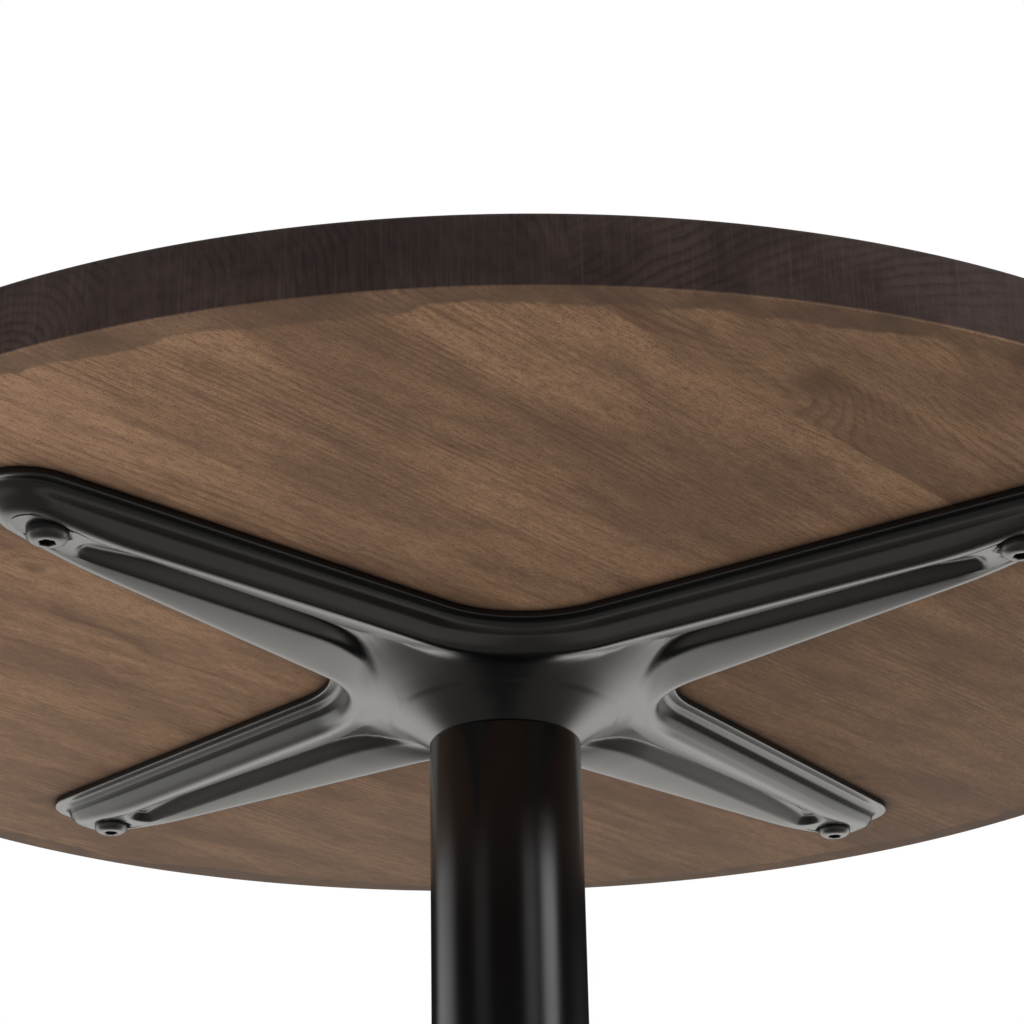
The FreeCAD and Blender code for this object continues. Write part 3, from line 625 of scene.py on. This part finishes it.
def makeBoard(index):
    node = "top_board_%d" % index
    low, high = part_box(node)
    radius = cadBox[1].x
    mesh = bmesh.new()
    bmesh.ops.create_circle(mesh, cap_ends=True, segments=board["rimSteps"], radius=radius,
                            matrix=Matrix.Translation((0, 0, low.z)))
    made = bmesh.ops.extrude_face_region(mesh, geom=mesh.faces[:])["geom"]
    upper = [one for one in made if isinstance(one, bmesh.types.BMVert)]
    bmesh.ops.translate(mesh, vec=(0, 0, high.z - low.z), verts=upper)
    bmesh.ops.recalc_face_normals(mesh, faces=mesh.faces[:])
    for level, side in ((high.z, "upper"), (low.z, "lower")):
        rim = [edge for edge in mesh.edges if all(abs(vert.co.z - level) < mm / 10 for vert in edge.verts)]
        bmesh.ops.bevel(mesh, geom=rim, offset=board[side + "Round"] * mm, offset_type="OFFSET",
                        segments=board[side + "Steps"], profile=0.5, affect="EDGES", material=-1)
    for level, side in ((low.y, -1), (high.y, 1)):
        if abs(level) < radius - mm:
            geom = mesh.verts[:] + mesh.edges[:] + mesh.faces[:]
            cut = bmesh.ops.bisect_plane(mesh, geom=geom, plane_co=(0, level, 0), plane_no=(0, side, 0),
                                         clear_outer=True)
            edges = [one for one in cut["geom_cut"] if isinstance(one, bmesh.types.BMEdge)]
            bmesh.ops.edgeloop_fill(mesh, edges=edges)
    piece = makePiece("topBoard%d" % index, mesh, woodFinish(node))
    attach(piece, "table")
    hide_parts(node)


for index in range(1, 5):
    makeBoard(index)
print("top boards made")


# Column

columnLow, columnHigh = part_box("column")
column = {"steps": 96, "wall": 2, "edge": 0.4}


def makeColumn():
    outer = columnHigh.x / mm
    inner = outer - column["wall"]
    edge = column["edge"]
    low = columnLow.z / mm
    high = columnHigh.z / mm
    profile = [(low, inner), (low, outer - edge), (low + edge, outer),
               (high - edge, outer), (high, outer - edge), (high, inner)]
    stations = [(height, roundShape(radius)) for height, radius in profile]
    mesh = bmesh.new()
    skin(mesh, turned(stations, column["steps"]), join=True)
    tidyMesh(mesh)
    piece = makePiece("column", mesh, blackTube)
    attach(piece, "table")
    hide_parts("column")


makeColumn()

# Bolts

bolt = {
    "steps": 48, "shank": 4, "bite": 12, "head": 7, "headHeight": 4.4, "side": 1.6, "flat": 3.7,
    "domeSteps": 8, "socket": 5, "socketDepth": 2.6, "socketRim": 0.5, "socketBreak": 0.3,
    "turns": (12, 40, 21, 3),  # degrees
}


def makeBolts():
    crest = spider["fixingLevel"]
    top = crest + bolt["headHeight"]
    stations = [(-bolt["bite"], roundShape(bolt["shank"])), (crest, roundShape(bolt["shank"])),
                (crest, roundShape(bolt["head"])), (crest + bolt["side"], roundShape(bolt["head"]))]
    for step in range(1, bolt["domeSteps"] + 1):
        angle = math.pi / 2 * step / bolt["domeSteps"]
        radius = bolt["flat"] + (bolt["head"] - bolt["flat"]) * math.cos(angle)
        height = crest + bolt["side"] + (bolt["headHeight"] - bolt["side"]) * math.sin(angle)
        stations.append((height, roundShape(radius)))
    stations.append((top, hexShape(bolt["socket"] + bolt["socketRim"])))
    stations.append((top - bolt["socketBreak"], hexShape(bolt["socket"])))
    stations.append((top - bolt["socketDepth"], hexShape(bolt["socket"])))
    mesh = bmesh.new()
    for arm, turn in enumerate(bolt["turns"]):
        one = bmesh.new()
        skin(one, turned(stations, bolt["steps"]))
        bmesh.ops.recalc_face_normals(one, faces=one.faces[:])
        outward = Matrix.Translation((spider["fixing"] * mm, 0, 0))
        spin = Matrix.Rotation(math.pi / 2 * arm, 4, "Z") @ outward
        matrix = hanging @ spin @ Matrix.Rotation(math.radians(turn), 4, "Z")
        bmesh.ops.transform(one, matrix=matrix, verts=one.verts[:])
        data = bpy.data.meshes.new("boltPart")
        one.to_mesh(data)
        one.free()
        mesh.from_mesh(data)
        bpy.data.meshes.remove(data)
    piece = makePiece("spiderBolts", mesh, blackBolt)
    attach(piece, "table")
    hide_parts("spider_bolts")


makeBolts()
print("column and bolts made")

# Levelling glides

glide = {
    "reach": 255, "steps": 48, "padRadius": 16, "padHeight": 9, "padShoulder": 5, "padCrown": 10,
    "padRound": 1.2, "padRoundShare": 0.3, "shoulderRound": (0.4, 0.5), "crownRound": (0.4, 0.7, 0.2),
    "socket": 6.1, "foot": 6, "footHeight": 4, "collar": 13, "collarLow": 9.3, "collarHigh": 13.3,
    "collarBreak": 0.7, "thread": 3.97, "threadDepth": 0.55, "pitch": 1.25, "threadHigh": 34,
    "threadSteps": 6,
}


def threadShape(height):
    def shape(angle):
        share = (height / glide["pitch"] - angle / (2 * math.pi)) % 1
        return glide["thread"] - glide["threadDepth"] * abs(2 * share - 1)
    return shape


def hexTurned(across, radius):  # a hexagon with its corners turned down
    shape = hexShape(across)
    return lambda angle: min(shape(angle), radius)


def makeGlide(index):
    outward = Matrix.Translation((glide["reach"] * mm, 0, 0))
    arm = Matrix.Rotation(math.pi / 2 * (index - 1), 4, "Z") @ outward
    edge, part = glide["padRound"], glide["padRoundShare"] * glide["padRound"]
    outer, top = glide["padRadius"], glide["padHeight"]
    shoulder, crown = glide["padShoulder"], glide["padCrown"]
    before, after = glide["shoulderRound"]
    drop, wider, narrower = glide["crownRound"]
    socketFloor = top - glide["footHeight"]
    corners = [(0, outer - edge), (part, outer - part), (edge, outer), (shoulder - before, outer),
               (shoulder + after, outer - after), (top - drop, crown + wider), (top, crown - narrower),
               (top, glide["socket"]), (socketFloor, glide["socket"])]
    mesh = bmesh.new()
    skin(mesh, turned([(height, roundShape(radius)) for height, radius in corners], glide["steps"]))
    tidyMesh(mesh)
    bmesh.ops.transform(mesh, matrix=arm, verts=mesh.verts[:])
    pad = makePiece("glidePad%d" % index, mesh, blackNylon)
    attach(pad, "pad_%d" % index)
    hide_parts("glide_pad_%d" % index)

    low, high, ease = glide["collarLow"], glide["collarHigh"], glide["collarBreak"]
    widest = glide["collar"] / math.sqrt(3)
    foot = roundShape(glide["foot"])
    full, trimmed = hexTurned(glide["collar"], widest), hexTurned(glide["collar"], widest - ease)
    stations = [(socketFloor, foot), (low, foot), (low, trimmed), (low + ease / 2, full),
                (high - ease / 2, full), (high, trimmed)]
    turns = (glide["threadHigh"] - high) / glide["pitch"]
    count = int(turns * glide["threadSteps"])
    for step in range(count + 1):
        height = high + (glide["threadHigh"] - high) * step / count
        stations.append((height, threadShape(height)))
    mesh = bmesh.new()
    skin(mesh, turned(stations, glide["steps"]))
    tidyMesh(mesh)
    bmesh.ops.transform(mesh, matrix=arm, verts=mesh.verts[:])
    stem = makePiece("glideStem%d" % index, mesh, zincSteel)
    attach(stem, "stem_%d" % index)
    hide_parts("glide_stem_%d" % index)


for index in range(1, 5):
    makeGlide(index)
print("glides made")

# Carried-over nodes

for node in ("threaded_inserts", "spider_sleeves", "tie_rod", "rod_top_washer", "rod_top_nut",
             "rod_bottom_washer", "rod_lock_washer", "rod_bottom_nut", "glide_bushes"):
    nodes[node].data.materials.clear()
    nodes[node].data.materials.append(zincSteel)


# Floor, light and camera

photoView = {  # where the photograph was taken from: degrees and mm
    "azimuth": -49.72, "away": 918.5, "below": 339.9, "yaw": 0.276, "pitch": 23.963, "roll": -1.186,
    "lens": 89.8, "sensor": 36, "nearest": 10, "farthest": 100000,
}
studio = {  # strengths of what shiny pieces mirror; the floor's size and ranges in metres
    "floorSize": 14, "floor": colour(172, 168, 162), "mirrorTint": (1, 0.97, 0.92, 1), "fill": 0.34,
    "roomGlow": 0.015, "ceiling": 0.8, "ceilingRange": (0.4, 0.9), "horizon": (-0.03, 0.02),
    "farGlow": 0.2, "farRange": (0.1, 0.9), "nearFloor": 0.34, "sideFloor": 0.45, "sideRange": (0.5, 2.5),
    "farFloor": 2.4, "farFloorRange": (0.6, 1.3), "dimming": 0.6, "dimRange": (1.5, 4), "windowBlur": 0.02,
    "steepest": 0.01,
}
windows = [  # soft bright places in the room: degrees right of the camera, sines of their heights
    {"azimuth": 63, "width": 16, "glow": 6.6, "low": 0.205, "top": 0.285},
    {"azimuth": 33, "width": 13, "glow": 1.9, "low": 0.205, "top": 0.285},
    {"azimuth": -108, "width": 27, "glow": 1.8, "low": -0.2, "top": 0.28},
    {"azimuth": -40, "width": 15, "glow": 0.7, "low": 0.205, "top": 0.285},
    {"azimuth": 122, "width": 26, "glow": 0.9, "low": -0.2, "top": 0.16},
]
softboxes = {  # metres and degrees right of the camera; each aims at a height on the column's axis
    "leftSoftbox": {"turn": -110, "away": 2.2, "height": 1.7, "size": (1.0, 1.6), "watts": 40, "aim": 0.9},
    "rightSoftbox": {"turn": 71, "away": 2.2, "height": 1.7, "size": (0.7, 1.6), "watts": 85, "aim": 0.9},
    "lowSoftbox": {"turn": -55, "away": 0.95, "height": 0.62, "size": (0.6, 0.5), "watts": 8, "aim": 1.03},
}


def makeCamera():
    data = bpy.data.cameras.new("camera")
    data.lens = photoView["lens"]
    data.sensor_width = photoView["sensor"]
    data.clip_start = photoView["nearest"] * mm
    data.clip_end = photoView["farthest"] * mm
    camera = bpy.data.objects.new("camera", data)
    spin = Matrix.Rotation(math.radians(photoView["azimuth"]), 4, "Z")
    place = Matrix.Translation((0, -photoView["away"] * mm, underside - photoView["below"] * mm))
    heading = Matrix.Rotation(-math.radians(photoView["yaw"]), 4, "Z")
    tilt = Matrix.Rotation(math.radians(90 + photoView["pitch"]), 4, "X")
    roll = Matrix.Rotation(math.radians(photoView["roll"]), 4, "Z")
    camera.matrix_world = spin @ place @ heading @ tilt @ roll
    bpy.context.scene.collection.objects.link(camera)
    bpy.context.scene.camera = camera


def viewAxes(shop, vector):  # to the right of the photograph, away from its camera, and up
    x, y, z = shop.split(vector)
    turn = math.radians(photoView["azimuth"])
    return x * math.cos(turn) + y * math.sin(turn), y * math.cos(turn) - x * math.sin(turn), z


def makeFloor():
    mesh = bmesh.new()
    bmesh.ops.create_grid(mesh, x_segments=1, y_segments=1, size=studio["floorSize"] / 2)
    material, shop = newFinish("floor")
    rays = shop.node("ShaderNodeLightPath").socket.node
    shown = Value(shop, rays.outputs["Is Glossy Ray"])
    side, away = viewAxes(shop, shop.spot())[:2]
    beside = shop.ease(shop.maths("ABSOLUTE", side), *studio["sideRange"]) * studio["sideFloor"]
    dim = shop.ease(away, *studio["dimRange"]) * studio["dimming"]
    distant = shop.ease(away, *studio["farFloorRange"]) * (1 - dim)
    glow = distant * studio["farFloor"] + beside + studio["nearFloor"]
    matte = shop.node("ShaderNodeBsdfDiffuse", links={"Color": studio["floor"]})
    mirrored = shop.node("ShaderNodeEmission", links={"Color": studio["mirrorTint"], "Strength": glow})
    mixed = shop.node("ShaderNodeMixShader", links={0: shown, 1: matte, 2: mirrored})
    shop.node("ShaderNodeOutputMaterial", links={"Surface": mixed})
    floor = makePiece("floor", mesh, material)


def makeWorld():
    world = bpy.data.worlds.new("studio")
    world.use_nodes = True
    bpy.context.scene.world = world
    shop = Shop(world.node_tree)
    rays = shop.node("ShaderNodeLightPath").socket.node
    camera, glossy, through = [Value(shop, rays.outputs[name])
                               for name in ("Is Camera Ray", "Is Glossy Ray", "Is Transmission Ray")]
    side, away, up = viewAxes(shop, shop.node("ShaderNodeTexCoord", out="Generated"))
    level = shop.maths("SQRT", shop.maths("MAXIMUM", 1 - up * up, studio["steepest"]))
    ground = 1 - shop.ease(up, *studio["horizon"])
    around = studio["sideFloor"] + studio["nearFloor"]
    beyond = shop.ease(away / level, *studio["farRange"]) * studio["farGlow"] + around
    ceiling = shop.ease(up, *studio["ceilingRange"]) * studio["ceiling"]
    glow = ground * beyond + ceiling + studio["roomGlow"]
    for window in windows:
        angle = math.radians(window["azimuth"])
        facing = (side * math.sin(angle) - away * math.cos(angle)) / level
        edge = math.cos(math.radians(window["width"]))
        blur = studio["windowBlur"]
        lit = (shop.ease(up, window["low"] - blur, window["low"] + blur)
               - shop.ease(up, window["top"] - blur, window["top"] + blur))
        glow = glow + shop.ease(facing, edge, 1.0) * lit * window["glow"]
    mirrored = shop.maths("MAXIMUM", glossy, through)
    strength = camera + (1 - camera) * (mirrored * glow + (1 - mirrored) * studio["fill"])
    shader = shop.node("ShaderNodeBackground", links={"Color": (1, 1, 1, 1), "Strength": strength})
    shop.node("ShaderNodeOutputWorld", links={"Surface": shader})


def makeLamp(name, box):
    data = bpy.data.lights.new(name, "AREA")
    data.shape = "RECTANGLE"
    data.size, data.size_y = box["size"]
    data.energy = box["watts"]
    lamp = bpy.data.objects.new(name, data)
    angle = math.radians(photoView["azimuth"] + box["turn"])
    place = Vector((math.sin(angle) * box["away"], -math.cos(angle) * box["away"], box["height"]))
    lamp.location = place
    lamp.rotation_mode = "QUATERNION"
    lamp.rotation_quaternion = (Vector((0, 0, box["aim"])) - place).to_track_quat("-Z", "Y")
    lamp.visible_camera = False
    lamp.visible_glossy = False
    bpy.context.scene.collection.objects.link(lamp)


makeCamera()
makeFloor()
makeWorld()
for name, box in softboxes.items():
    makeLamp(name, box)
print("studio made")

bpy.context.scene.view_settings.view_transform = "Standard"
